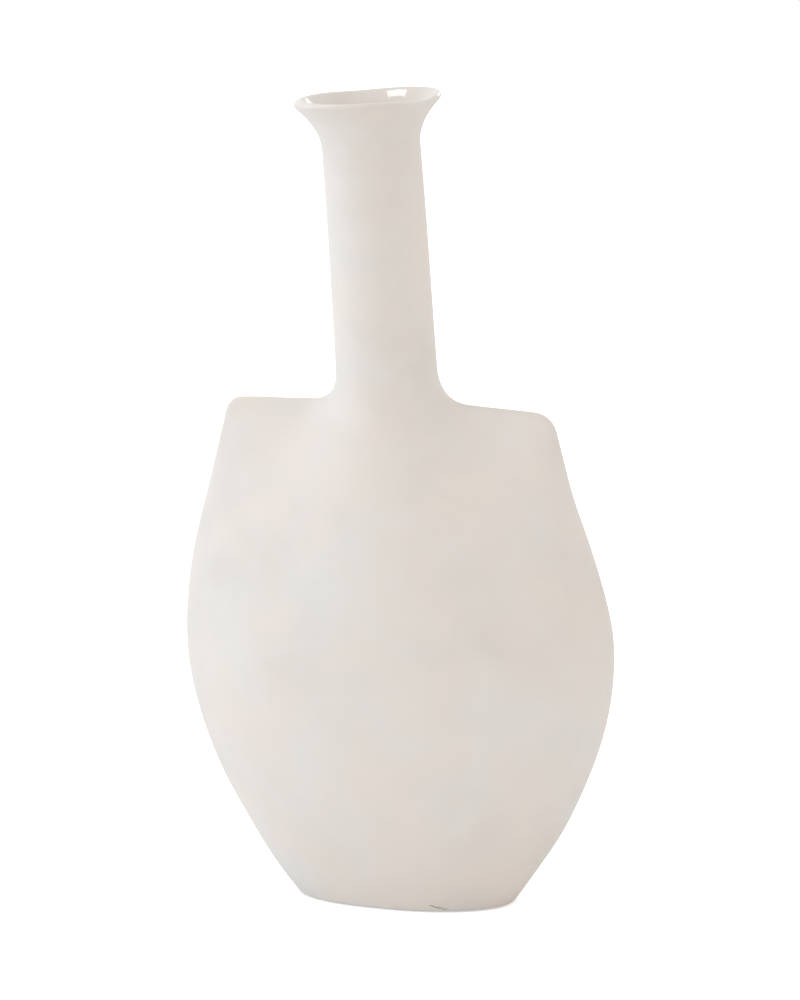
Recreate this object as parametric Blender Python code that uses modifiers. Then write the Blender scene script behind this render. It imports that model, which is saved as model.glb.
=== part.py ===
"""Long-neck vase: a flat flask body with level shoulders and a long leaning neck.

The vase is put together the way a potter builds it: an oval base slab, a front and a back wall
that meet along the thin ridge round the body, a tapered neck tube and a flared lip collar.
Units are metres. X runs across the vase, -Y is its front, +Z is up, and the origin is the middle
of the foot.
"""
import math
from types import SimpleNamespace

import bmesh
import bpy

# Clay
WALL = 0.005
JOINT_GAP = 0.0003

# Foot and base slab
FOOT_HALF_WIDTH = 0.0561
FOOT_HALF_DEPTH = 0.0338
FOOT_EDGE_RADIUS = 0.0025
BASE_THICKNESS = 0.008

# Body
BELLY_HEIGHT = 0.13
BELLY_HALF_WIDTH = 0.1122
BELLY_HALF_DEPTH = 0.054
BODY_LEAN = -0.009
SHOULDER_HEIGHT = 0.2505
SHOULDER_HALF_WIDTH = 0.0839
SHOULDER_FALL = 0.0017
LEFT_CORNER_RADIUS = 0.0048
RIGHT_CORNER_RADIUS = 0.011
RIDGE_RADIUS = 0.0025
INNER_RIDGE_RADIUS = 0.001

# Neck
NECK_LENGTH = 0.152
NECK_LEAN = math.radians(4.28)
NECK_RADIUS_BELOW = 0.025
NECK_RADIUS_ABOVE = 0.0241
LEFT_ROOT_FILLET = 0.0075
RIGHT_ROOT_FILLET = 0.0173
ROOT_COLLAR_HEIGHT = 0.006

# Lip
LIP_RADIUS = 0.0363
LIP_THICKNESS = 0.0043
FLARE_LENGTH = 0.0224

# How the neck's column melts into the front and back of the body
LEFT_COLUMN_SPREAD = 0.0465
RIGHT_COLUMN_SPREAD = 0.037
COLUMN_SPREAD_DEPTH = 0.05
COLUMN_LENGTH = 0.2
FOLD_DEPTH = 0.05

# Shapes of the curves, without a unit
FOOT_SQUARENESS = 2.1
FLANK_BEND_BELOW = 1.24
FLANK_BEND_ABOVE = 0.23
LEFT_FLANK_EASE = 0.08
RIGHT_FLANK_EASE = 0.5
FRONT_BEND_BELOW = 1.9
FRONT_BEND_ABOVE = 1.83
BELLY_FULLNESS = 0.7
SHOULDER_FULLNESS = 0.58
FLARE_BEND = 2.05
COLUMN_SOFTNESS = 1.95
COLUMN_BLEND = 1.7
FOLD_BEND = 1.75
TUCK_UNDER_SHOULDER = 1.25

# Fineness of the meshes
FLANK_STEPS = 15
CORNER_STEPS = 4
SHOULDER_STEPS = 7
ROOT_STEPS = 6
COLLAR_STEPS = 2
HALF_RING_STEPS = 28
TURN_STEPS = 56
FLARE_STEPS = 7
LIP_STEPS = 7
FOOT_EDGE_STEPS = 3


def smooth(value):
    """Ease from 0 to 1 with a level start and end."""
    value = min(max(value, 0.0), 1.0)
    return value * value * (3.0 - 2.0 * value)


def mix(start, end, share):
    return start + (end - start) * share


def bend(share, straightness):
    """Go from 0 to 1, level at first and then nearly straight, sooner where straightness is small."""
    rise = math.sqrt(1.0 + (share / straightness) ** 2) - 1.0
    return rise / (math.sqrt(1.0 + 1.0 / straightness ** 2) - 1.0)


def skin_sizes(inset, ridge):
    """Sizes of the body's surface: the outside at no inset, the inside of the wall at one wall's inset."""
    return SimpleNamespace(
        inset=inset,
        ridge=ridge,
        foot_width=FOOT_HALF_WIDTH - inset,
        foot_depth=FOOT_HALF_DEPTH - inset,
        belly_width=BELLY_HALF_WIDTH - inset,
        belly_depth=BELLY_HALF_DEPTH - inset,
        shoulder_width=SHOULDER_HALF_WIDTH - TUCK_UNDER_SHOULDER * inset,
        shoulder_height=SHOULDER_HEIGHT - TUCK_UNDER_SHOULDER * inset,
    )


def half_width(height, skin, side):
    """Reach of the body's right (side above 0) or left flank, out to the belly and in to the shoulders."""
    if height < BELLY_HEIGHT:
        share = bend((BELLY_HEIGHT - height) / BELLY_HEIGHT, FLANK_BEND_BELOW)
        return mix(skin.belly_width, skin.foot_width, share)
    climb = (height - BELLY_HEIGHT) / (SHOULDER_HEIGHT - BELLY_HEIGHT)
    ease = RIGHT_FLANK_EASE if side > 0 else LEFT_FLANK_EASE
    share = mix(bend(climb, FLANK_BEND_ABOVE), smooth(climb), ease)
    return mix(skin.belly_width, skin.shoulder_width, share)


def body_middle(height):
    """Where the leaning body's middle line is, in X."""
    return BODY_LEAN * height / SHOULDER_HEIGHT


def neck_radius(climb):
    return mix(NECK_RADIUS_BELOW, NECK_RADIUS_ABOVE, climb / NECK_LENGTH)


def neck_point(climb, offset):
    """A point (x, z) that lies climb along the leaning neck from the shoulders and offset beside its axis."""
    x = BODY_LEAN - climb * math.sin(NECK_LEAN) + offset * math.cos(NECK_LEAN)
    z = SHOULDER_HEIGHT + climb * math.cos(NECK_LEAN) + offset * math.sin(NECK_LEAN)
    return x, z


def neck_place(x, z):
    """The reverse of neck_point: how far along the neck's axis and beside it a point is."""
    across = x - BODY_LEAN
    above = z - SHOULDER_HEIGHT
    climb = above * math.cos(NECK_LEAN) - across * math.sin(NECK_LEAN)
    offset = across * math.cos(NECK_LEAN) + above * math.sin(NECK_LEAN)
    return climb, offset


def root_climb():
    """Height of the joint between the body walls and the neck tube, clear above both root fillets."""
    return max(LEFT_ROOT_FILLET, RIGHT_ROOT_FILLET) + ROOT_COLLAR_HEIGHT


def rounded_corner(before, corner, after, radius, steps):
    """Points of the arc that rounds the corner between two straight lines."""
    back = math.atan2(before[1] - corner[1], before[0] - corner[0])
    ahead = math.atan2(after[1] - corner[1], after[0] - corner[0])
    turn = (ahead - back + math.pi) % (2.0 * math.pi) - math.pi
    half_angle = abs(turn) / 2.0
    middle = back + turn / 2.0
    reach = radius / math.sin(half_angle)
    centre = (corner[0] + reach * math.cos(middle), corner[1] + reach * math.sin(middle))
    sweep = math.pi - abs(turn)
    first = middle + math.pi + math.copysign(sweep / 2.0, turn)
    points = []
    for step in range(steps + 1):
        angle = first - math.copysign(sweep, turn) * step / steps
        points.append((centre[0] + radius * math.cos(angle), centre[1] + radius * math.sin(angle)))
    return points


def straight(start, end, steps):
    """Points after start on the straight line to end."""
    return [(mix(start[0], end[0], step / steps), mix(start[1], end[1], step / steps))
            for step in range(1, steps + 1)]


def side_outline(side, skin, floor):
    """Outline of the body's right (1) or left (-1) side in the XZ plane, from the floor to the neck's root."""
    corner_radius = RIGHT_CORNER_RADIUS if side > 0 else LEFT_CORNER_RADIUS
    fillet = (RIGHT_ROOT_FILLET if side > 0 else LEFT_ROOT_FILLET) + skin.inset
    corner_run = 2.0 * max(LEFT_CORNER_RADIUS, RIGHT_CORNER_RADIUS)
    corner_height = skin.shoulder_height - SHOULDER_FALL
    flank_height = corner_height - corner_run

    def flank(height):
        return body_middle(height) + side * half_width(height, skin, side), height

    corner = flank(corner_height)
    fold = skin.shoulder_height - SHOULDER_HEIGHT
    root = neck_point(fold, side * (neck_radius(fold) - skin.inset))
    top = neck_point(root_climb(), side * (neck_radius(root_climb()) - skin.inset))
    points = [flank(mix(floor, flank_height, step / FLANK_STEPS)) for step in range(FLANK_STEPS + 1)]
    points += rounded_corner(points[-1], corner, root, corner_radius, CORNER_STEPS)
    root_arc = rounded_corner(corner, root, top, fillet, ROOT_STEPS)
    points += straight(points[-1], root_arc[0], SHOULDER_STEPS)
    points += root_arc[1:]
    points += straight(points[-1], top, COLLAR_STEPS)
    return points


def shoulder_line(x, skin):
    """Height of the shoulder, which falls a little to both corners."""
    return skin.shoulder_height - SHOULDER_FALL * abs(x - BODY_LEAN) / SHOULDER_HALF_WIDTH


def neck_roots(skin, floor):
    """Reach beside the neck's axis of both root fillets, against the height over the shoulder."""
    fillet_start = FLANK_STEPS + 1 + CORNER_STEPS + SHOULDER_STEPS
    return [[(z - shoulder_line(x, skin), abs(neck_place(x, z)[1]))
             for x, z in side_outline(side, skin, floor)[fillet_start:]] for side in (-1, 1)]


def stations(skin, floor):
    """The rings of the body from the floor up to the neck's root, each with its two end points."""
    left = side_outline(-1, skin, floor)
    right = side_outline(1, skin, floor)
    corner_end = FLANK_STEPS + 1 + CORNER_STEPS
    last = len(left) - 1
    rings = []
    for number, (left_end, right_end) in enumerate(zip(left, right)):
        height = (left_end[1] + right_end[1]) / 2.0
        if number <= corner_end:
            fold = smooth((height - BELLY_HEIGHT) / (skin.shoulder_height - BELLY_HEIGHT))
        else:
            fold = 1.0 - smooth((number - corner_end) / (last - corner_end))
        rings.append(SimpleNamespace(
            left=left_end,
            right=right_end,
            squareness=mix(FOOT_SQUARENESS, 2.0, smooth(height / BELLY_HEIGHT)),
            fold=FOLD_DEPTH * fold,
        ))
    return rings


def lens_depth(x, z, skin):
    """Half depth of the flask itself at a place of the XZ plane."""
    low = smooth(z / BELLY_HEIGHT)
    rise = min(max((z - BELLY_HEIGHT) / (shoulder_line(x, skin) - BELLY_HEIGHT), 0.0), 1.0)
    if z < BELLY_HEIGHT:
        share = (1.0 - z / BELLY_HEIGHT) ** FRONT_BEND_BELOW
        depth = mix(skin.belly_depth, skin.foot_depth, share) - skin.ridge
    else:
        depth = (skin.belly_depth - skin.ridge) * (1.0 - rise ** FRONT_BEND_ABOVE)
    power = mix(FOOT_SQUARENESS, 2.0, low)
    fullness = mix(1.0 / FOOT_SQUARENESS, BELLY_FULLNESS, low)
    fullness = mix(fullness, SHOULDER_FULLNESS, smooth(rise)) if z > BELLY_HEIGHT else fullness
    across = x - body_middle(z)
    share = min(abs(across) / half_width(z, skin, across), 1.0)
    return depth * (1.0 - share ** power) ** fullness


def ridge_depth(distance, skin):
    """Half depth of the rounded ridge, distance in from the outline."""
    share = 1.0 - min(distance / skin.ridge, 1.0)
    return skin.ridge * math.sqrt(1.0 - share * share)


def column_reach(height, root, spread):
    """How far the foot of the neck's column reaches beside its axis, height above the shoulder."""
    start, reach = root[0]
    if height < start:
        ledge = max(1.0 + (height - start) / COLUMN_SPREAD_DEPTH, 0.0)
        return reach + spread * (1.0 - ledge * ledge)
    for (low, near), (high, far) in zip(root, root[1:]):
        if height < high:
            return mix(near, far, (height - low) / (high - low))
    return root[-1][1]


def column_depth(x, z, roots, skin):
    """Half depth of the neck's round column, which runs down over the flask and melts into it."""
    climb, offset = neck_place(x, z)
    height = z - shoulder_line(x, skin)
    if offset > 0.0:
        reach = column_reach(height, roots[1], RIGHT_COLUMN_SPREAD)
    else:
        reach = column_reach(height, roots[0], LEFT_COLUMN_SPREAD)
    radius = neck_radius(climb) - skin.inset
    softness = min(0.5 * (reach / radius) ** 2, COLUMN_SOFTNESS)
    fade = smooth(1.0 + (z - SHOULDER_HEIGHT) / COLUMN_LENGTH)
    return radius * fade * max(1.0 - (offset / reach) ** 2, 0.0) ** softness


def half_ring(ring, roots, skin):
    """Points (x, half depth, z) of one ring, from its right end over the front to its left end."""
    points = []
    for step in range(HALF_RING_STEPS + 1):
        angle = math.pi * step / HALF_RING_STEPS
        reach = math.copysign(abs(math.cos(angle)) ** (2.0 / ring.squareness), math.cos(angle))
        x = mix(ring.left[0], ring.right[0], (1.0 + reach) / 2.0)
        z = mix(ring.left[1], ring.right[1], (1.0 + reach) / 2.0)
        z -= ring.fold * math.sin(angle) ** FOLD_BEND
        end = ring.right if reach > 0.0 else ring.left
        ridge = ridge_depth(math.hypot(x - end[0], z - end[1]), skin)
        flask = lens_depth(x, z, skin) + ridge
        column = column_depth(x, z, roots, skin)
        depth = (flask ** COLUMN_BLEND + column ** COLUMN_BLEND) ** (1.0 / COLUMN_BLEND)
        if step in (0, HALF_RING_STEPS):
            depth = 0.0
        points.append((x, depth, z))
    return points


def lofted_mesh(name, loops):
    """Closed mesh through closed loops of as many points each, with both end loops filled."""
    shape = bmesh.new()
    rows = [[shape.verts.new(point) for point in loop] for loop in loops]
    count = len(rows[0])
    for lower, upper in zip(rows, rows[1:]):
        for index in range(count):
            after = (index + 1) % count
            shape.faces.new((lower[index], lower[after], upper[after], upper[index]))
    half = count // 2
    for row in (rows[0], rows[-1]):
        for index in range(half - 1):
            shape.faces.new((row[index], row[index + 1], row[count - 2 - index], row[count - 1 - index]))
    bmesh.ops.recalc_face_normals(shape, faces=shape.faces)
    mesh = bpy.data.meshes.new(name)
    shape.to_mesh(mesh)
    shape.free()
    mesh.shade_smooth()
    mesh.set_sharp_from_angle(angle=math.radians(40.0))
    return mesh


def material(name, color, roughness):
    surface = bpy.data.materials.new(name)
    surface.use_nodes = True
    shader = surface.node_tree.nodes["Principled BSDF"]
    shader.inputs["Base Color"].default_value = (*color, 1.0)
    shader.inputs["Roughness"].default_value = roughness
    shader.inputs["Metallic"].default_value = 0.0
    return surface


def add_part(collection, name, mesh, surface):
    part = bpy.data.objects.new(name, mesh)
    part.data.materials.append(surface)
    collection.objects.link(part)
    return part


def base_slab_mesh():
    """Solid oval slab with a rounded lower edge, cut level where the walls stand on it."""
    levels = []
    for step in range(FOOT_EDGE_STEPS + 1):
        angle = math.pi / 2.0 * step / FOOT_EDGE_STEPS
        inset = FOOT_EDGE_RADIUS * (1.0 - math.sin(angle))
        levels.append((FOOT_EDGE_RADIUS * (1.0 - math.cos(angle)), inset))
    levels.append((BASE_THICKNESS, 0.0))
    loops = []
    for height, inset in levels:
        skin = skin_sizes(inset, RIDGE_RADIUS)
        width = half_width(height, skin, 1)
        ring = SimpleNamespace(left=(body_middle(height) - width, height),
                               right=(body_middle(height) + width, height),
                               squareness=FOOT_SQUARENESS, fold=0.0)
        front = half_ring(ring, neck_roots(skin, height), skin)
        loop = [(x, -depth, z) for x, depth, z in front]
        loop += [(x, depth, z) for x, depth, z in reversed(front[1:-1])]
        loops.append(loop)
    return lofted_mesh("base_slab", loops)


def wall_mesh(name, side):
    """The front (-1) or back (1) shell: an outer and an inner skin, joined at the seam and both ends."""
    floor = BASE_THICKNESS + JOINT_GAP
    outer_skin = skin_sizes(0.0, RIDGE_RADIUS)
    inner_skin = skin_sizes(WALL, INNER_RIDGE_RADIUS)
    outer_roots, inner_roots = neck_roots(outer_skin, floor), neck_roots(inner_skin, floor)
    loops = []
    for outer, inner in zip(stations(outer_skin, floor), stations(inner_skin, floor)):
        loop = half_ring(outer, outer_roots, outer_skin)
        loop += list(reversed(half_ring(inner, inner_roots, inner_skin)))
        loops.append([(x, side * (depth + JOINT_GAP / 2.0), z) for x, depth, z in loop])
    return lofted_mesh(name, loops)


def add_turned_part(collection, name, profile, surface):
    """A round part of the neck: its profile (radius, climb) turned about the leaning neck's axis."""
    mesh = bpy.data.meshes.new(name)
    edges = [(index, (index + 1) % len(profile)) for index in range(len(profile))]
    mesh.from_pydata([(radius, 0.0, climb) for radius, climb in profile], edges, [])
    part = add_part(collection, name, mesh, surface)
    turn = part.modifiers.new("Turn", "SCREW")
    turn.axis = "Z"
    turn.steps = TURN_STEPS
    turn.render_steps = TURN_STEPS
    turn.use_merge_vertices = True
    turn.merge_threshold = 0.00001
    turn.use_smooth_shade = True
    x, z = neck_point(0.0, 0.0)
    part.location = (x, 0.0, z)
    part.rotation_euler = (0.0, -NECK_LEAN, 0.0)
    return part


def collar_joint():
    """Height along the neck where the lip collar sits on the neck tube."""
    return NECK_LENGTH - LIP_THICKNESS / 2.0 - FLARE_LENGTH


def neck_tube_profile():
    bottom = root_climb() + JOINT_GAP
    top = collar_joint()
    return [
        (neck_radius(top), top),
        (neck_radius(bottom), bottom),
        (neck_radius(bottom) - WALL, bottom),
        (neck_radius(top) - WALL, top),
    ]


def lip_collar_profile():
    """Round lip from its inner side over the top, then down the outer flare and up the inner one."""
    bottom = collar_joint() + JOINT_GAP
    joint_radius = neck_radius(bottom)
    lip = LIP_THICKNESS / 2.0
    centre = (LIP_RADIUS - lip, NECK_LENGTH - lip)
    inner_angle, outer_angle = math.radians(130.0), math.radians(-45.0)
    rim = []
    for step in range(LIP_STEPS + 1):
        angle = mix(inner_angle, outer_angle, step / LIP_STEPS)
        rim.append((centre[0] + lip * math.cos(angle), centre[1] + lip * math.sin(angle)))

    def flare(end, radius):
        rows = []
        for step in range(1, FLARE_STEPS + 1):
            share = 1.0 - step / FLARE_STEPS
            rows.append((mix(radius, end[0], share ** FLARE_BEND), mix(bottom, end[1], share)))
        return rows

    inside = flare(rim[0], joint_radius - WALL)
    return rim + flare(rim[-1], joint_radius) + list(reversed(inside))


def build():
    for thing in list(bpy.data.objects):
        bpy.data.objects.remove(thing)
    vase = bpy.data.collections.new("long_neck_vase")
    bpy.context.scene.collection.children.link(vase)
    add_part(vase, "base_slab", base_slab_mesh(), material("bare_clay", (0.66, 0.60, 0.53), 0.85))
    add_part(vase, "front_wall", wall_mesh("front_wall", -1), material("front_glaze", (0.74, 0.69, 0.65), 0.5))
    add_part(vase, "back_wall", wall_mesh("back_wall", 1), material("back_glaze", (0.74, 0.69, 0.65), 0.5))
    add_turned_part(vase, "neck_tube", neck_tube_profile(), material("neck_glaze", (0.74, 0.69, 0.65), 0.5))
    add_turned_part(vase, "lip_collar", lip_collar_profile(), material("lip_glaze", (0.75, 0.71, 0.67), 0.3))


build()
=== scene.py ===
"""A long-neck vase, dressed for a product photograph.

The vase is a flat flask of white stoneware with level shoulders, an oval foot, a long neck that
leans to the left and a thin flared lip. It is glazed all over but for the foot it stands on.
All sizes are in metres: X runs across the vase, -Y is its front and +Z is up.
"""

import math
from types import SimpleNamespace

import bmesh
import bpy
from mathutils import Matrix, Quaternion, Vector


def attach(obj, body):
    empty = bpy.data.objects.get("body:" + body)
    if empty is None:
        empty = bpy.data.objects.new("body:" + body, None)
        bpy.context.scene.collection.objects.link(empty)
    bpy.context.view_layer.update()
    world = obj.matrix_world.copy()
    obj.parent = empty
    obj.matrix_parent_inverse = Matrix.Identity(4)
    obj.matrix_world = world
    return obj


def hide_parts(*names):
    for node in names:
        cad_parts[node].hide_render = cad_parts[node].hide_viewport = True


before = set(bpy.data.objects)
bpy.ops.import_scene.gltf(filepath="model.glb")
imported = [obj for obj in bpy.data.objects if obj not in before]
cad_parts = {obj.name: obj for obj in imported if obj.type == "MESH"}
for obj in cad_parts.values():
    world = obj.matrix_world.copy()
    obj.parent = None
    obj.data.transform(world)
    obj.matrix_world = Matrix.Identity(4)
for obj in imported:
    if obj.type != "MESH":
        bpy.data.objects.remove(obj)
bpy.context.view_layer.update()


# The unglazed foot: the oval slab of bare clay that the vase stands on. It is cut from a rolled
# sheet, its lower edge is rounded with a sponge, and the glaze is wiped off it before the firing.
FOOT_HALF_WIDTH = 0.0553
FOOT_HALF_DEPTH = 0.0337
LEFT_FOOT_SQUARENESS = 2.6
RIGHT_FOOT_SQUARENESS = 1.97
FOOT_EDGE_RADIUS = 0.0018
BARE_HEIGHT = 0.0006
GLAZE_COAT = 0.0003
FOOT_EDGE_STEPS = 6
POINTS_AROUND = 144
CREASE_ANGLE = math.radians(40.0)
FOOT_COLOR = (0.60, 0.545, 0.485, 1.0)
DARK_SAND_COLOR = (0.50, 0.44, 0.38, 1.0)
SAND_SCALE = 900.0
GRIT_DEPTH = 0.0002

# The plan of the flask over its foot: the belly, the shoulders, and how the walls bend and fill
# out between them. A squareness of 2 is an ellipse.
ELLIPSE = 2.0
BELLY_HEIGHT = 0.13
BELLY_HALF_WIDTH = 0.1122
BELLY_HALF_DEPTH = 0.054
BODY_LEAN = -0.009
SHOULDER_HEIGHT = 0.2505
SHOULDER_HALF_WIDTH = 0.0839
SHOULDER_FALL = 0.0017
FLANK_BEND_BELOW = 1.24
FLANK_BEND_ABOVE = 0.23
LEFT_FLANK_EASE = 0.08
RIGHT_FLANK_EASE = 0.5
FRONT_BEND_BELOW = 1.9
FRONT_BEND_ABOVE = 1.83
BELLY_FULLNESS = 0.7
SHOULDER_FULLNESS = 0.58
RIDGE_RADIUS = 0.0025
TUCK_UNDER_SHOULDER = 1.25

# Where the hand that built the walls strayed from the plan: place, spread and amount. The drifts
# go to the right and the swells outwards, both by height, and a swell is full from SWELL_REACH
# beside the middle line on. The lifts raise the shoulder, by x. They set in over LIFT_RISE from
# LIFT_START on, and fade over LIFT_FADE up to NECK_FREE, where the neck stands free.
DRIFTS = ((0.0, 0.006, 0.0004), (0.0, 0.02, 0.0012), (0.035, 0.02, 0.0013), (0.14, 0.02, 0.0006),
          (0.23, 0.015, 0.0004), (0.262, 0.014, -0.0002), (0.345, 0.05, 0.0004))
SWELLS = ((0.0, 0.006, -0.0004), (0.14, 0.02, -0.0003), (0.205, 0.016, -0.0005),
          (0.262, 0.014, 0.0002))
SWELL_REACH = 0.02
LIFTS = ((-0.095, 0.012, -0.0011), (-0.045, 0.016, 0.0007), (0.037, 0.015, -0.0004))
LIFT_START = 0.235
LIFT_RISE = 0.01
LIFT_FADE = 0.03
NECK_FREE = 0.29


def smooth(value):
    """Ease from 0 to 1 with a level start and end."""
    value = min(max(value, 0.0), 1.0)
    return value * value * (3.0 - 2.0 * value)


def mix(start, end, share):
    """The value a share of the way from start to end."""
    return start + (end - start) * share


def bend(share, straightness):
    """Go from 0 to 1, level at first and then nearly straight."""
    rise = math.sqrt(1.0 + (share / straightness) ** 2) - 1.0
    return rise / (math.sqrt(1.0 + 1.0 / straightness ** 2) - 1.0)


def flask_skin(inset, ridge):
    """Sizes of the flask's surface, inset from the outside of the clay."""
    return SimpleNamespace(
        inset=inset,
        ridge=ridge,
        foot_width=FOOT_HALF_WIDTH - inset,
        foot_depth=FOOT_HALF_DEPTH - inset,
        belly_width=BELLY_HALF_WIDTH - inset,
        belly_depth=BELLY_HALF_DEPTH - inset,
        shoulder_width=SHOULDER_HALF_WIDTH - TUCK_UNDER_SHOULDER * inset,
        shoulder_height=SHOULDER_HEIGHT - TUCK_UNDER_SHOULDER * inset,
    )


def flank_reach(height, skin, side):
    """How far the right (side above 0) or left flank reaches from the body's middle line."""
    if height < BELLY_HEIGHT:
        share = bend((BELLY_HEIGHT - height) / BELLY_HEIGHT, FLANK_BEND_BELOW)
        return mix(skin.belly_width, skin.foot_width, share)
    climb = (height - BELLY_HEIGHT) / (SHOULDER_HEIGHT - BELLY_HEIGHT)
    ease = RIGHT_FLANK_EASE if side > 0 else LEFT_FLANK_EASE
    share = mix(bend(climb, FLANK_BEND_ABOVE), smooth(climb), ease)
    return mix(skin.belly_width, skin.shoulder_width, share)


def body_middle(height):
    """The leaning body's middle line."""
    return BODY_LEAN * height / SHOULDER_HEIGHT


def shoulder_line(x, skin):
    """Height of the shoulder, which falls a little to both corners."""
    return skin.shoulder_height - SHOULDER_FALL * abs(x - BODY_LEAN) / SHOULDER_HALF_WIDTH


def flask_depth(x, z, skin):
    """How far the flask bulges to the front and to the back of the seam plane."""
    low = smooth(z / BELLY_HEIGHT)
    squareness = LEFT_FOOT_SQUARENESS if x < body_middle(z) else RIGHT_FOOT_SQUARENESS
    rise = min(max((z - BELLY_HEIGHT) / (shoulder_line(x, skin) - BELLY_HEIGHT), 0.0), 1.0)
    if z < BELLY_HEIGHT:
        share = (1.0 - z / BELLY_HEIGHT) ** FRONT_BEND_BELOW
        bulge = mix(skin.belly_depth, skin.foot_depth, share) - skin.ridge
    else:
        bulge = (skin.belly_depth - skin.ridge) * (1.0 - rise ** FRONT_BEND_ABOVE)
    power = mix(squareness, ELLIPSE, low)
    fullness = mix(mix(1.0 / squareness, BELLY_FULLNESS, low), SHOULDER_FULLNESS, smooth(rise))
    across = x - body_middle(z)
    share = min(abs(across) / flank_reach(z, skin, across), 1.0)
    return bulge * (1.0 - share ** power) ** fullness


def strays(place, strayings):
    """Sum of the strayings at a place."""
    return sum(amount * math.exp(-((place - centre) / spread) ** 2)
               for centre, spread, amount in strayings)


def hand_built(x, y, z):
    """A point of the plan, moved as far as the hand strayed there."""
    beside = x - body_middle(z)
    drift = strays(z, DRIFTS)
    swell = strays(z, SWELLS) * beside / max(abs(beside), SWELL_REACH)
    lift = strays(x, LIFTS) * smooth((z - LIFT_START) / LIFT_RISE)
    lift *= smooth((NECK_FREE - z) / LIFT_FADE)
    return Vector((x + drift + swell, y, z + lift))


def seam_ridge(distance, skin):
    """Depth of the rounded ridge along the luted seam, distance in from the outline."""
    share = 1.0 - min(distance / skin.ridge, 1.0)
    return skin.ridge * math.sqrt(1.0 - share * share)


def across_ring(angle, height):
    """Where across a ring, from -1 to 1, its point at an angle lies; they crowd at the ends."""
    across = math.cos(angle)
    squareness = LEFT_FOOT_SQUARENESS if across < 0.0 else RIGHT_FOOT_SQUARENESS
    squareness = mix(squareness, ELLIPSE, smooth(height / BELLY_HEIGHT))
    return math.copysign(abs(across) ** (ELLIPSE / squareness), across)


def oval_ring(height, inset):
    """A level ring of the flask, from the right end over the front and back over the rear."""
    skin = flask_skin(inset, RIDGE_RADIUS)
    right = flank_reach(height, skin, 1)
    points = []
    for step in range(POINTS_AROUND):
        angle = 2.0 * math.pi * step / POINTS_AROUND
        share = across_ring(angle, height)
        x = body_middle(height) + right * share
        depth = flask_depth(x, height, skin) + seam_ridge(right * (1.0 - abs(share)), skin)
        if step % (POINTS_AROUND // 2) == 0:
            depth = 0.0
        points.append(hand_built(x, math.copysign(depth, -math.sin(angle)), height))
    return points


def start_ring(name, ring):
    """Add a circle of clay and set its points to the first ring; it stays in edit mode."""
    bpy.ops.object.select_all(action="DESELECT")
    bpy.ops.mesh.primitive_circle_add(vertices=len(ring), radius=FOOT_HALF_WIDTH,
                                      fill_type="NOTHING")
    piece = bpy.context.active_object
    piece.name = name
    piece.data.name = name
    bpy.ops.object.mode_set(mode="EDIT")
    bpy.ops.mesh.select_all(action="SELECT")
    shape = bmesh.from_edit_mesh(piece.data)
    shape.verts.ensure_lookup_table()
    place = shape.verts.layers.int.new("place in ring")
    for index, point in enumerate(ring):
        shape.verts[index].co = point
        shape.verts[index][place] = index
    bmesh.update_edit_mesh(piece.data)
    return piece


def pull_ring(piece, ring):
    """Extrude the open edge and pull each of its points to the next ring."""
    bpy.ops.mesh.extrude_region_move()
    shape = bmesh.from_edit_mesh(piece.data)
    place = shape.verts.layers.int["place in ring"]
    for vert in shape.verts:
        if vert.select:
            vert.co = ring[vert[place]]
    bmesh.update_edit_mesh(piece.data, loop_triangles=False)


def close_and_finish(piece):
    """Fill both open ends, turn every face outwards and smooth the shading."""
    bpy.ops.mesh.edge_face_add()
    bpy.ops.mesh.select_all(action="DESELECT")
    bpy.ops.mesh.select_non_manifold(extend=False, use_multi_face=False, use_non_contiguous=False,
                                     use_verts=False)
    bpy.ops.mesh.edge_face_add()
    bpy.ops.mesh.select_all(action="SELECT")
    bpy.ops.mesh.normals_make_consistent(inside=False)
    bpy.ops.object.mode_set(mode="OBJECT")
    bpy.ops.object.select_all(action="DESELECT")
    piece.select_set(True)
    bpy.context.view_layer.objects.active = piece
    bpy.ops.object.shade_smooth_by_angle(angle=CREASE_ANGLE)
    piece.data.attributes.remove(piece.data.attributes["place in ring"])


def add_noise(tree, where, scale, detail, roughness=0.5, distortion=0.0):
    """Add a noise texture laid out by a vector socket, and return its value."""
    noise = tree.nodes.new("ShaderNodeTexNoise")
    noise.inputs["Scale"].default_value = scale
    noise.inputs["Detail"].default_value = detail
    noise.inputs["Roughness"].default_value = roughness
    noise.inputs["Distortion"].default_value = distortion
    tree.links.new(where, noise.inputs["Vector"])
    return noise.outputs["Fac"]


def add_bump(tree, height, strength, depth):
    """Add a bump from a height socket, and return its normal."""
    bump = tree.nodes.new("ShaderNodeBump")
    bump.inputs["Strength"].default_value = strength
    bump.inputs["Distance"].default_value = depth
    tree.links.new(height, bump.inputs["Height"])
    return bump.outputs["Normal"]


foot_rings = []
for step in range(FOOT_EDGE_STEPS + 1):
    angle = math.acos(1.0 - BARE_HEIGHT / FOOT_EDGE_RADIUS) * step / FOOT_EDGE_STEPS
    inset = FOOT_EDGE_RADIUS * (1.0 - math.sin(angle)) + GLAZE_COAT
    foot_rings.append(oval_ring(FOOT_EDGE_RADIUS * (1.0 - math.cos(angle)), inset))
foot = start_ring("bare_foot", foot_rings[0])
for ring in foot_rings[1:]:
    pull_ring(foot, ring)
close_and_finish(foot)

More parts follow.
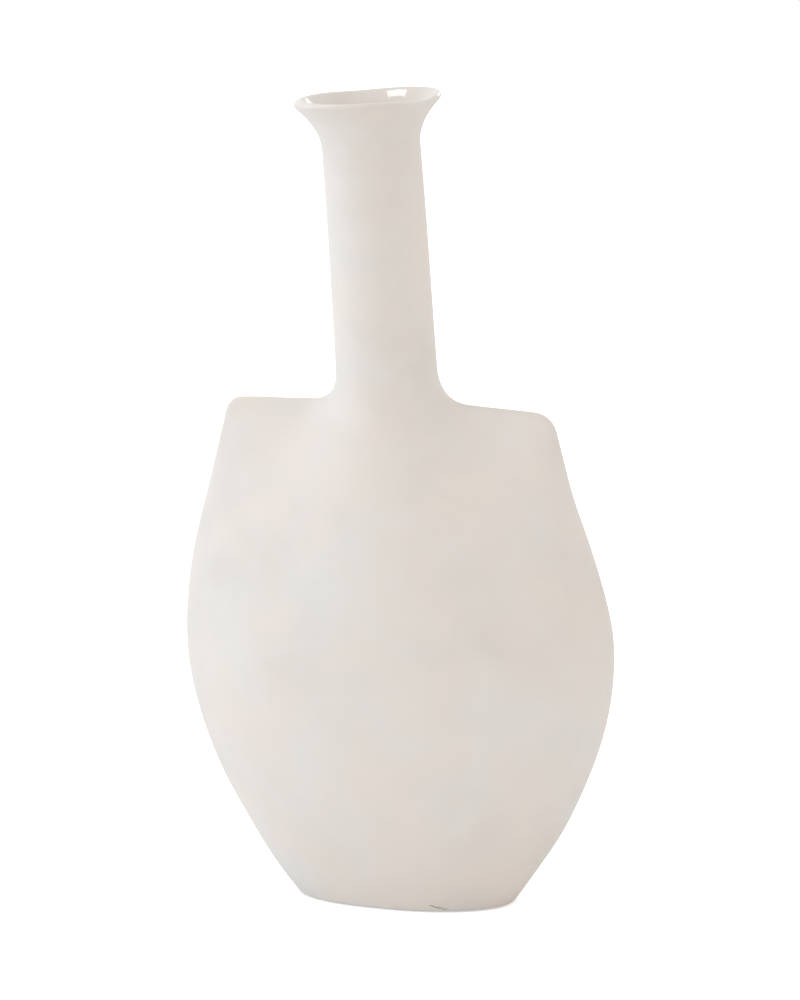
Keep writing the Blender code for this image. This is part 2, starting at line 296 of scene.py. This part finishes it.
bare_clay = bpy.data.materials.new("bare_stoneware")
bare_clay.use_nodes = True
foot.data.materials.append(bare_clay)
nodes, links = bare_clay.node_tree.nodes, bare_clay.node_tree.links
clay = nodes["Principled BSDF"]
clay.inputs["Roughness"].default_value = 0.85
clay.inputs["Specular IOR Level"].default_value = 0.3
where = nodes.new("ShaderNodeTexCoord").outputs["Object"]
sand = add_noise(bare_clay.node_tree, where, SAND_SCALE, detail=4.0)
sand_color = nodes.new("ShaderNodeValToRGB")
dark, light = sand_color.color_ramp.elements
dark.position, dark.color = 0.35, DARK_SAND_COLOR
light.position, light.color = 0.62, FOOT_COLOR
links.new(sand, sand_color.inputs["Fac"])
links.new(sand_color.outputs["Color"], clay.inputs["Base Color"])
grit = add_bump(bare_clay.node_tree, sand, strength=0.5, depth=GRIT_DEPTH)
links.new(grit, clay.inputs["Normal"])

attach(foot, "root")
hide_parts("base_slab")


# The glazed shell: front and back wall, neck and lip, luted together and sponged until no seam
# shows but the ridge round the flask. It is pulled here as one ring of clay, from the foot up
# the outside, over the lip and down the inside to the floor.
WALL = 0.005
FLOOR_THICKNESS = 0.008
FLOOR_ROUNDING = 0.004
FLOOR_STEPS = 4
INNER_RIDGE_RADIUS = 0.001
LEFT_CORNER_RADIUS = 0.008
RIGHT_CORNER_RADIUS = 0.0125
LEFT_ROOT_FILLET = 0.0145
RIGHT_ROOT_FILLET = 0.0165
ROOT_COLLAR_HEIGHT = 0.006
NECK_LENGTH = 0.152
NECK_LEAN = math.radians(4.28)
NECK_RADIUS_BELOW = 0.025
NECK_RADIUS_ABOVE = 0.0241
LIP_RADIUS = 0.0363
LIP_THICKNESS = 0.0027
LEFT_LIP_THICKNESS = 0.0052
RIGHT_LIP_THICKNESS = 0.0036
OUTER_ROLL = math.radians(-45.0)
INNER_ROLL = math.radians(130.0)
FLARE_START = 0.1275
FLARE_BEND = 1.88
LEFT_COLUMN_SPREAD = 0.0385
RIGHT_COLUMN_SPREAD = 0.037
COLUMN_SPREAD_DEPTH = 0.05
COLUMN_LENGTH = 0.2
COLUMN_SOFTNESS = 1.95
COLUMN_BLEND = 1.7
FOLD_DEPTH = 0.05
FOLD_BEND = 1.75
FLANK_STEPS = 60
CORNER_STEPS = 12
SHOULDER_STEPS = 20
ROOT_STEPS = 20
COLLAR_STEPS = 4
NECK_STEPS = 36
FLARE_STEPS = 20
LIP_STEPS = 16

# Where the lip waves: degrees from its right end over the front, spread in degrees, and lift
LIP_WAVES = ((22.0, 28.0, -0.0022), (80.0, 30.0, -0.0005), (210.0, 22.0, 0.0002),
             (245.0, 32.0, -0.0009))


def neck_radius(climb):
    """Radius of the tapered neck, climb above its root."""
    return mix(NECK_RADIUS_BELOW, NECK_RADIUS_ABOVE, climb / NECK_LENGTH)


def neck_point(climb, offset):
    """A point (x, z), climb along the leaning neck and offset beside its axis."""
    x = BODY_LEAN - climb * math.sin(NECK_LEAN) + offset * math.cos(NECK_LEAN)
    z = SHOULDER_HEIGHT + climb * math.cos(NECK_LEAN) + offset * math.sin(NECK_LEAN)
    return x, z


def neck_place(x, z):
    """How far along the neck's axis and beside it a point of the seam plane is."""
    climb = (z - SHOULDER_HEIGHT) * math.cos(NECK_LEAN) - (x - BODY_LEAN) * math.sin(NECK_LEAN)
    offset = (x - BODY_LEAN) * math.cos(NECK_LEAN) + (z - SHOULDER_HEIGHT) * math.sin(NECK_LEAN)
    return climb, offset


def root_climb():
    """Where the neck is round again, clear above both root fillets."""
    return max(LEFT_ROOT_FILLET, RIGHT_ROOT_FILLET) + ROOT_COLLAR_HEIGHT


def rounded_corner(before, corner, after, radius, steps):
    """Points of the arc that rounds the corner between two straight lines."""
    back = math.atan2(before[1] - corner[1], before[0] - corner[0])
    ahead = math.atan2(after[1] - corner[1], after[0] - corner[0])
    turn = (ahead - back + math.pi) % (2.0 * math.pi) - math.pi
    middle = back + turn / 2.0
    reach = radius / math.sin(abs(turn) / 2.0)
    centre = (corner[0] + reach * math.cos(middle), corner[1] + reach * math.sin(middle))
    sweep = math.copysign(math.pi - abs(turn), turn)
    points = []
    for step in range(steps + 1):
        angle = middle + math.pi + sweep * (0.5 - step / steps)
        points.append((centre[0] + radius * math.cos(angle), centre[1] + radius * math.sin(angle)))
    return points


def straight(start, end, steps):
    """Points after start on the straight line to end."""
    return [(mix(start[0], end[0], step / steps), mix(start[1], end[1], step / steps))
            for step in range(1, steps + 1)]


def side_outline(side, skin, floor):
    """Outline of the flask's right (1) or left (-1) side, from the floor to the neck's root."""
    corner_radius = RIGHT_CORNER_RADIUS if side > 0 else LEFT_CORNER_RADIUS
    fillet = (RIGHT_ROOT_FILLET if side > 0 else LEFT_ROOT_FILLET) + skin.inset
    corner_height = skin.shoulder_height - SHOULDER_FALL
    flank_height = corner_height - 2.0 * max(LEFT_CORNER_RADIUS, RIGHT_CORNER_RADIUS)

    def flank(height):
        return body_middle(height) + side * flank_reach(height, skin, side), height

    corner = flank(corner_height)
    tuck = skin.shoulder_height - SHOULDER_HEIGHT
    root = neck_point(tuck, side * (neck_radius(tuck) - skin.inset))
    top = neck_point(root_climb(), side * (neck_radius(root_climb()) - skin.inset))
    points = [flank(mix(floor, flank_height, step / FLANK_STEPS))
              for step in range(FLANK_STEPS + 1)]
    points += rounded_corner(points[-1], corner, root, corner_radius, CORNER_STEPS)
    root_arc = rounded_corner(corner, root, top, fillet, ROOT_STEPS)
    points += straight(points[-1], root_arc[0], SHOULDER_STEPS)
    points += root_arc[1:]
    points += straight(points[-1], top, COLLAR_STEPS)
    return points


def column_reach(height, root, spread):
    """How far the neck's foot reaches beside its axis, height above the shoulder.

    It follows the root's fillet down to the shoulder, and spreads over the flask below it.
    """
    start, reach = root[0]
    if height < start:
        ledge = max(1.0 + (height - start) / COLUMN_SPREAD_DEPTH, 0.0)
        return reach + spread * (1.0 - ledge * ledge)
    for (low, near), (high, far) in zip(root, root[1:]):
        if height < high:
            return mix(near, far, (height - low) / (high - low))
    return root[-1][1]


def column_depth(x, z, left_root, right_root, skin):
    """The neck's round column, which runs down over the flask and melts into it."""
    climb, offset = neck_place(x, z)
    height = z - shoulder_line(x, skin)
    if offset > 0.0:
        reach = column_reach(height, right_root, RIGHT_COLUMN_SPREAD)
    else:
        reach = column_reach(height, left_root, LEFT_COLUMN_SPREAD)
    radius = neck_radius(climb) - skin.inset
    softness = min(0.5 * (reach / radius) ** 2, COLUMN_SOFTNESS)
    fade = smooth(1.0 + (z - SHOULDER_HEIGHT) / COLUMN_LENGTH)
    return radius * fade * max(1.0 - (offset / reach) ** 2, 0.0) ** softness


def flask_rings(skin, floor):
    """All rings of the flask, from the floor up to the round root of the neck."""
    lefts = side_outline(-1, skin, floor)
    rights = side_outline(1, skin, floor)
    corner_end = FLANK_STEPS + 1 + CORNER_STEPS
    left_root, right_root = [
        [(z - shoulder_line(x, skin), abs(neck_place(x, z)[1]))
         for x, z in outline[corner_end + SHOULDER_STEPS:]]
        for outline in (lefts, rights)]
    rings = []
    for number, (left, right) in enumerate(zip(lefts, rights)):
        height = (left[1] + right[1]) / 2.0
        # Each ring sags at the front and the back, most at the shoulder and not at all at the neck
        fold = FOLD_DEPTH * smooth((height - BELLY_HEIGHT) / (skin.shoulder_height - BELLY_HEIGHT))
        fold *= 1.0 - smooth((number - corner_end) / (len(lefts) - 1 - corner_end))
        points = []
        for step in range(POINTS_AROUND):
            angle = 2.0 * math.pi * step / POINTS_AROUND
            share = across_ring(angle, height)
            x = mix(left[0], right[0], (1.0 + share) / 2.0)
            z = mix(left[1], right[1], (1.0 + share) / 2.0)
            z -= fold * abs(math.sin(angle)) ** FOLD_BEND
            end = right if share > 0.0 else left
            ridge = seam_ridge(math.hypot(x - end[0], z - end[1]), skin)
            ridge *= smooth(1.0 - (z - SHOULDER_HEIGHT) / root_climb())
            flask = flask_depth(x, z, skin) + ridge
            column = column_depth(x, z, left_root, right_root, skin)
            depth = (flask ** COLUMN_BLEND + column ** COLUMN_BLEND) ** (1.0 / COLUMN_BLEND)
            if step % (POINTS_AROUND // 2) == 0:
                depth = 0.0
            points.append(hand_built(x, math.copysign(depth, -math.sin(angle)), z))
        rings.append(points)
    return rings


def lip_wave(angle):
    """How far the lip is pushed up at an angle from its right end, over the front."""
    lift = 0.0
    for centre, spread, amount in LIP_WAVES:
        apart = (math.degrees(angle) - centre + 180.0) % 360.0 - 180.0
        lift += amount * math.exp(-(apart / spread) ** 2)
    return lift


def lip_place(angle, roll):
    """Radius and climb on the rolled lip, roll 0 at its outer edge and 90 degrees on its crest."""
    across = math.cos(angle)
    end = RIGHT_LIP_THICKNESS if across > 0.0 else LEFT_LIP_THICKNESS
    half = mix(LIP_THICKNESS, end, across * across) / 2.0
    return LIP_RADIUS - half + half * math.cos(roll), NECK_LENGTH - half + half * math.sin(roll)


def flare_place(angle, share, start_radius, roll):
    """Radius and climb on the flare, share of its way up to the lip."""
    radius, climb = lip_place(angle, roll)
    return mix(start_radius, radius, share ** FLARE_BEND), mix(FLARE_START, climb, share)


def neck_ring(place):
    """A ring of the neck, whose place tells its radius and climb at each angle round the axis."""
    points = []
    for step in range(POINTS_AROUND):
        angle = 2.0 * math.pi * step / POINTS_AROUND
        radius, climb = place(angle)
        climb += smooth((climb - FLARE_START) / (NECK_LENGTH - FLARE_START)) * lip_wave(angle)
        x, z = neck_point(climb, radius * math.cos(angle))
        points.append(hand_built(x, -radius * math.sin(angle), z))
    return points


outer_skin = flask_skin(0.0, RIDGE_RADIUS)
inner_skin = flask_skin(WALL, INNER_RIDGE_RADIUS)
shell_rings = flask_rings(outer_skin, BARE_HEIGHT)

neck_climbs = [mix(root_climb(), FLARE_START, step / NECK_STEPS)
               for step in range(1, NECK_STEPS + 1)]
flare_shares = [step / FLARE_STEPS for step in range(1, FLARE_STEPS)]
rolls = [mix(OUTER_ROLL, INNER_ROLL, step / LIP_STEPS) for step in range(LIP_STEPS + 1)]
outer_radius = neck_radius(FLARE_START)
inner_radius = outer_radius - WALL
shell_rings += [neck_ring(lambda angle: (neck_radius(climb), climb)) for climb in neck_climbs]
shell_rings += [neck_ring(lambda angle: flare_place(angle, share, outer_radius, OUTER_ROLL))
                for share in flare_shares]
# The ring at the lip's outer edge, where the roll passes 0
lip_edge = len(shell_rings) + round(LIP_STEPS * OUTER_ROLL / (OUTER_ROLL - INNER_ROLL))
shell_rings += [neck_ring(lambda angle: lip_place(angle, roll)) for roll in rolls]
shell_rings += [neck_ring(lambda angle: flare_place(angle, share, inner_radius, INNER_ROLL))
                for share in reversed(flare_shares)]
shell_rings += [neck_ring(lambda angle: (neck_radius(climb) - WALL, climb))
                for climb in reversed(neck_climbs)]

shell_rings += reversed(flask_rings(inner_skin, FLOOR_THICKNESS + FLOOR_ROUNDING))
for step in range(1, FLOOR_STEPS + 1):
    angle = math.pi / 2.0 * step / FLOOR_STEPS
    height = FLOOR_THICKNESS + FLOOR_ROUNDING * (1.0 - math.sin(angle))
    shell_rings.append(oval_ring(height, WALL + FLOOR_ROUNDING * (1.0 - math.cos(angle))))

shell = start_ring("glazed_shell", shell_rings[0])
for ring in shell_rings[1:]:
    pull_ring(shell, ring)
close_and_finish(shell)

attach(shell, "root")
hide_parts("front_wall", "back_wall", "neck_tube", "lip_collar")


# The glaze: a warm off-white satin coat, broken by soft cloudy patches where it was dipped
# thicker or thinner, with a fine grain. Over the lip and down the inside it has pooled and is
# glossy.
GLAZE_COLOR = (0.723, 0.690, 0.645, 1.0)
THIN_GLAZE_COLOR = (0.690, 0.630, 0.571, 1.0)
BLUSH_GLAZE_COLOR = (0.749, 0.669, 0.604, 1.0)
SATIN_ROUGHNESS = 0.55
SATIN_SPECULAR = 0.35
POOLED_ROUGHNESS = 0.05
POOLED_SPECULAR = 0.5
THIN_ROUGHENING = 1.15
CLOUD_SCALE = 16.0
CLOUD_EDGES = (0.30, 0.72)
BLUSH_SCALE = 27.0
BLUSH_EDGES = (0.35, 0.65)
BLUSH_STRENGTH = 0.85
GRAIN_SCALE = 260.0
GRAIN_STRENGTH = 0.3
GRAIN_DEPTH = 0.0001
VASE_HEIGHT = 0.405

# A tone by height that darkens the glaze in bands: darker near the foot and at the lip, and a
# little
# # darker above the belly and at the shoulder
HEIGHT_TONES = ((0.02, 0.980), (0.05, 0.992), (0.125, 0.995), (0.15, 0.988), (0.185, 0.988),
             (0.215, 0.995), (0.255, 0.985), (0.3, 1.0), (0.37, 1.0), (0.395, 0.978))

# The crack, where the glaze lifts at the foot; its dark line is painted shade under the lifted
# edge.
# # Its line from left to right, how far it jags, where it opens and closes, by x, and how its
# # painted shade fades beside the line
CRACK_SHADE_COLOR = (0.22, 0.19, 0.16, 1.0)
CRACK_SPAN = (0.023, 0.0305)
CRACK_HEIGHTS = (0.0036, 0.0016)
CRACK_JAG = 0.0003
CRACK_JAG_SCALE = 500.0
CRACK_JAG_EDGES = (0.3, 0.7)
CRACK_OPENING = (0.0226, 0.0238)
CRACK_CLOSING = (0.029, 0.033)
CRACK_FADE = (0.0001, 0.0004)
CRACK_SHADE_DARKNESS = 0.9


def feed(tree, socket, value):
    """Link an output to a socket, or set the socket to a plain value."""
    if isinstance(value, bpy.types.NodeSocket):
        tree.links.new(value, socket)
    else:
        socket.default_value = value


def add_range(tree, value, start, end, low=0.0, high=1.0, interpolation="LINEAR"):
    """Add a node that turns start into low and end into high, and return its result."""
    span = tree.nodes.new("ShaderNodeMapRange")
    span.interpolation_type = interpolation
    span.inputs["From Min"].default_value = start
    span.inputs["From Max"].default_value = end
    span.inputs["To Min"].default_value = low
    span.inputs["To Max"].default_value = high
    tree.links.new(value, span.inputs["Value"])
    return span.outputs["Result"]


def add_color_mix(tree, share, first, second, blend_type="MIX"):
    """Add a node that mixes two colours, and return its result."""
    blend = tree.nodes.new("ShaderNodeMix")
    blend.data_type = "RGBA"
    blend.blend_type = blend_type
    feed(tree, blend.inputs["Factor"], share)
    feed(tree, blend.inputs["A"], first)
    feed(tree, blend.inputs["B"], second)
    return blend.outputs["Result"]


def add_math(tree, operation, first, second):
    """Add a node that works out one number from two, and return its value."""
    node = tree.nodes.new("ShaderNodeMath")
    node.operation = operation
    feed(tree, node.inputs[0], first)
    feed(tree, node.inputs[1], second)
    return node.outputs["Value"]


def cloudy_glaze_group():
    """Glaze clouds: thick and thin patches, a blush here and there, and a tone by height."""
    group = bpy.data.node_groups.new("Glaze clouds", "ShaderNodeTree")
    sockets = group.interface
    sockets.new_socket("Vector", in_out="INPUT", socket_type="NodeSocketVector")
    sockets.new_socket("Thick", in_out="INPUT", socket_type="NodeSocketColor")
    sockets.new_socket("Thin", in_out="INPUT", socket_type="NodeSocketColor")
    sockets.new_socket("Blush", in_out="INPUT", socket_type="NodeSocketColor")
    sockets.new_socket("Color", in_out="OUTPUT", socket_type="NodeSocketColor")
    sockets.new_socket("Clouds", in_out="OUTPUT", socket_type="NodeSocketFloat")
    sockets.new_socket("Height", in_out="OUTPUT", socket_type="NodeSocketFloat")
    given = group.nodes.new("NodeGroupInput")
    made = group.nodes.new("NodeGroupOutput")
    where = given.outputs["Vector"]

    clouds = add_noise(group, where, CLOUD_SCALE, detail=3.0, roughness=0.55, distortion=0.4)
    clouds = add_range(group, clouds, *CLOUD_EDGES, interpolation="SMOOTHSTEP")
    color = add_color_mix(group, clouds, given.outputs["Thick"], given.outputs["Thin"])
    blush = add_noise(group, where, BLUSH_SCALE, detail=3.0, distortion=0.6)
    blush = add_range(group, blush, *BLUSH_EDGES, high=BLUSH_STRENGTH)
    color = add_color_mix(group, blush, color, given.outputs["Blush"])

    place = group.nodes.new("ShaderNodeSeparateXYZ")
    group.links.new(where, place.inputs["Vector"])
    # The glaze darkens in bands by height, most near the foot and at the lip
    height_bands = group.nodes.new("ShaderNodeValToRGB")
    height_bands.color_ramp.interpolation = "EASE"
    stops = height_bands.color_ramp.elements
    stops.remove(stops[1])
    stops[0].position = HEIGHT_TONES[0][0] / VASE_HEIGHT
    for height, _ in HEIGHT_TONES[1:]:
        stops.new(height / VASE_HEIGHT)
    for stop, (_, tone) in zip(stops, HEIGHT_TONES):
        stop.color = (tone, tone, tone, 1.0)
    rise = add_range(group, place.outputs["Z"], 0.0, VASE_HEIGHT)
    group.links.new(rise, height_bands.inputs["Fac"])
    color = add_color_mix(group, 1.0, color, height_bands.outputs["Color"], blend_type="MULTIPLY")

    grain = add_noise(group, where, GRAIN_SCALE, detail=4.0, roughness=0.6)
    group.links.new(color, made.inputs["Color"])
    group.links.new(clouds, made.inputs["Clouds"])
    group.links.new(grain, made.inputs["Height"])
    return group


def glaze_material(name, roughness, specular, clouds):
    """A glaze with its own gloss, clouded by the shared group."""
    glaze = bpy.data.materials.new(name)
    glaze.use_nodes = True
    tree = glaze.node_tree
    shader = tree.nodes["Principled BSDF"]
    shader.inputs["Specular IOR Level"].default_value = specular
    where = tree.nodes.new("ShaderNodeTexCoord")
    coat = tree.nodes.new("ShaderNodeGroup")
    coat.node_tree = clouds
    coat.inputs["Thick"].default_value = GLAZE_COLOR
    coat.inputs["Thin"].default_value = THIN_GLAZE_COLOR
    coat.inputs["Blush"].default_value = BLUSH_GLAZE_COLOR
    tree.links.new(where.outputs["Object"], coat.inputs["Vector"])
    tree.links.new(coat.outputs["Color"], shader.inputs["Base Color"])
    gloss = add_range(tree, coat.outputs["Clouds"], 0.0, 1.0, roughness,
                      roughness * THIN_ROUGHENING)
    tree.links.new(gloss, shader.inputs["Roughness"])
    grain = add_bump(tree, coat.outputs["Height"], GRAIN_STRENGTH * roughness, GRAIN_DEPTH)
    tree.links.new(grain, shader.inputs["Normal"])
    return glaze


def paint_crack_shade(glaze):
    """Paint the shade of a hairline crack in the glaze at the foot, low on the front to the right.
    """
    tree = glaze.node_tree
    where = tree.nodes["Texture Coordinate"].outputs["Object"]
    place = tree.nodes.new("ShaderNodeSeparateXYZ")
    tree.links.new(where, place.inputs["Vector"])
    across = place.outputs["X"]
    jag = add_noise(tree, where, CRACK_JAG_SCALE, detail=2.0)
    jag = add_range(tree, jag, *CRACK_JAG_EDGES, -CRACK_JAG, CRACK_JAG)
    line = add_math(tree, "ADD", add_range(tree, across, *CRACK_SPAN, *CRACK_HEIGHTS), jag)
    off = add_math(tree, "ABSOLUTE", add_math(tree, "SUBTRACT", place.outputs["Z"], line), 0.0)
    mask = add_range(tree, off, *CRACK_FADE, CRACK_SHADE_DARKNESS, 0.0)
    mask = add_math(tree, "MULTIPLY", mask, add_range(tree, across, *CRACK_OPENING, 0.0, 1.0))
    mask = add_math(tree, "MULTIPLY", mask, add_range(tree, across, *CRACK_CLOSING, 1.0, 0.0))
    front = add_math(tree, "LESS_THAN", place.outputs["Y"], 0.0)
    mask = add_math(tree, "MULTIPLY", mask, front)
    # The crack's dark line is painted shade, mixed into the glaze colour
    color = tree.nodes["Principled BSDF"].inputs["Base Color"]
    shaded_crack = add_color_mix(tree, mask, color.links[0].from_socket, CRACK_SHADE_COLOR)
    tree.links.new(shaded_crack, color)


glaze_clouds = cloudy_glaze_group()
satin_glaze = glaze_material("satin_white_glaze", SATIN_ROUGHNESS, SATIN_SPECULAR, glaze_clouds)
# Paint the shade under the glaze lifted at the crack into the satin glaze's colour
paint_crack_shade(satin_glaze)
shell.data.materials.append(satin_glaze)
pooled_glaze = glaze_material("pooled_white_glaze", POOLED_ROUGHNESS, POOLED_SPECULAR,
                              glaze_clouds)
shell.data.materials.append(pooled_glaze)
# The shell's points are numbered ring by ring, so the pooled glaze begins at the lip's edge
for face in shell.data.polygons:
    if min(face.vertices) >= lip_edge * POINTS_AROUND:
        face.material_index = 1


# The floor: a plain pale sheet of paper, which ends far outside the picture. The camera sees it
# brightened to white, around a soft shadow.
PAPER_SIZE = 8.0
PAPER_HEIGHT = -0.0005
PAPER_COLOR = (0.94, 0.94, 0.94, 1.0)
PAPER_GLOW = 0.45
PLAIN_WHITE = (1.0, 1.0, 1.0)

bpy.ops.object.select_all(action="DESELECT")
bpy.ops.mesh.primitive_plane_add(size=PAPER_SIZE, location=(0.0, 0.0, PAPER_HEIGHT))
floor = bpy.context.active_object
floor.name = "floor"
paper = bpy.data.materials.new("white_paper")
paper.use_nodes = True
floor.data.materials.append(paper)
sheet = paper.node_tree.nodes["Principled BSDF"]
sheet.inputs["Base Color"].default_value = PAPER_COLOR
sheet.inputs["Roughness"].default_value = 0.9
sheet.inputs["Specular IOR Level"].default_value = 0.1
sheet.inputs["Emission Color"].default_value = (*PLAIN_WHITE, 1.0)
seen = paper.node_tree.nodes.new("ShaderNodeLightPath").outputs["Is Camera Ray"]
glow = add_math(paper.node_tree, "MULTIPLY", seen, PAPER_GLOW)
paper.node_tree.links.new(glow, sheet.inputs["Emission Strength"])


# The studio: an even white room with one large soft window, which throws cool daylight from the
# left, and two small windows behind the vase, which shine in the gloss inside the mouth.
ROOM_LEVEL = 0.965
WINDOW_LEVEL = 1.36
SKYLIGHT_LEVEL = 6.0
BACK_WINDOW_LEVEL = 1.4
DAYLIGHT = (0.63, 0.81, 1.0)
WINDOW_AIM = Vector((0.0, 0.0, 0.2))
CAMERA_YAW = math.radians(18.91)
CAMERA_ELEVATION = math.radians(11.61)
CAMERA_DISTANCE = 2.65
CAMERA_TARGET = Vector((-0.00325, 0.0, 0.20084))
CAMERA_LENS = 192.4

world = bpy.data.worlds.new("white_room")
bpy.context.scene.world = world
world.use_nodes = True
nodes, links = world.node_tree.nodes, world.node_tree.links
room = nodes["Background"]
room.inputs["Color"].default_value = (*PLAIN_WHITE, 1.0)
room.inputs["Strength"].default_value = ROOM_LEVEL
white = nodes.new("ShaderNodeBackground")
white.inputs["Color"].default_value = (*PLAIN_WHITE, 1.0)
white.inputs["Strength"].default_value = 1.0

# The camera and every reflection meet plain white; only the room's own light has its level
ray = nodes.new("ShaderNodeLightPath").outputs
direct = add_math(world.node_tree, "MAXIMUM", ray["Is Camera Ray"], ray["Is Glossy Ray"])
direct = add_math(world.node_tree, "MAXIMUM", direct, ray["Is Transmission Ray"])
backdrop = nodes.new("ShaderNodeMixShader")
links.new(direct, backdrop.inputs["Fac"])
links.new(room.outputs["Background"], backdrop.inputs[1])
links.new(white.outputs["Background"], backdrop.inputs[2])
links.new(backdrop.outputs["Shader"], nodes["World Output"].inputs["Surface"])


def direction(turn, lift):
    """The way from the vase, turned to the right of its front and lifted over the level."""
    return Vector((math.sin(turn) * math.cos(lift), -math.cos(turn) * math.cos(lift),
                   math.sin(lift)))


def soft_window(name, azimuth, elevation, distance, width, height, level, color, roll=0.0):
    """A lamp that faces the vase, azimuth to the right of the camera, as bright as level says."""
    way = direction(CAMERA_YAW + math.radians(azimuth), math.radians(elevation))
    bpy.ops.object.light_add(type="AREA", location=way * distance + WINDOW_AIM)
    lamp = bpy.context.active_object
    lamp.name = name
    lamp.data.shape = "RECTANGLE"
    lamp.data.size = width
    lamp.data.size_y = height
    lamp.data.energy = level * math.pi * width * height
    lamp.data.color = color
    facing = way.to_track_quat("Z", "Y")
    lamp.rotation_euler = (Quaternion(way, math.radians(roll)) @ facing).to_euler()


soft_window("left_window", azimuth=-90.0, elevation=10.0, distance=1.5, width=1.5, height=1.5,
            level=WINDOW_LEVEL, color=DAYLIGHT)
soft_window("skylight", azimuth=-117.5, elevation=60.5, distance=1.2, width=0.115, height=0.37,
            level=SKYLIGHT_LEVEL, color=PLAIN_WHITE, roll=-27.0)
soft_window("back_window", azimuth=155.0, elevation=24.0, distance=1.2, width=0.36, height=0.36,
            level=BACK_WINDOW_LEVEL, color=PLAIN_WHITE)

toward_camera = direction(CAMERA_YAW, CAMERA_ELEVATION)
bpy.ops.object.camera_add(location=CAMERA_TARGET + toward_camera * CAMERA_DISTANCE,
                          rotation=(math.pi / 2.0 - CAMERA_ELEVATION, 0.0, CAMERA_YAW))
camera = bpy.context.active_object
camera.data.lens = CAMERA_LENS
camera.data.clip_end = 50.0
bpy.context.scene.camera = camera
bpy.context.scene.view_settings.view_transform = "Standard"
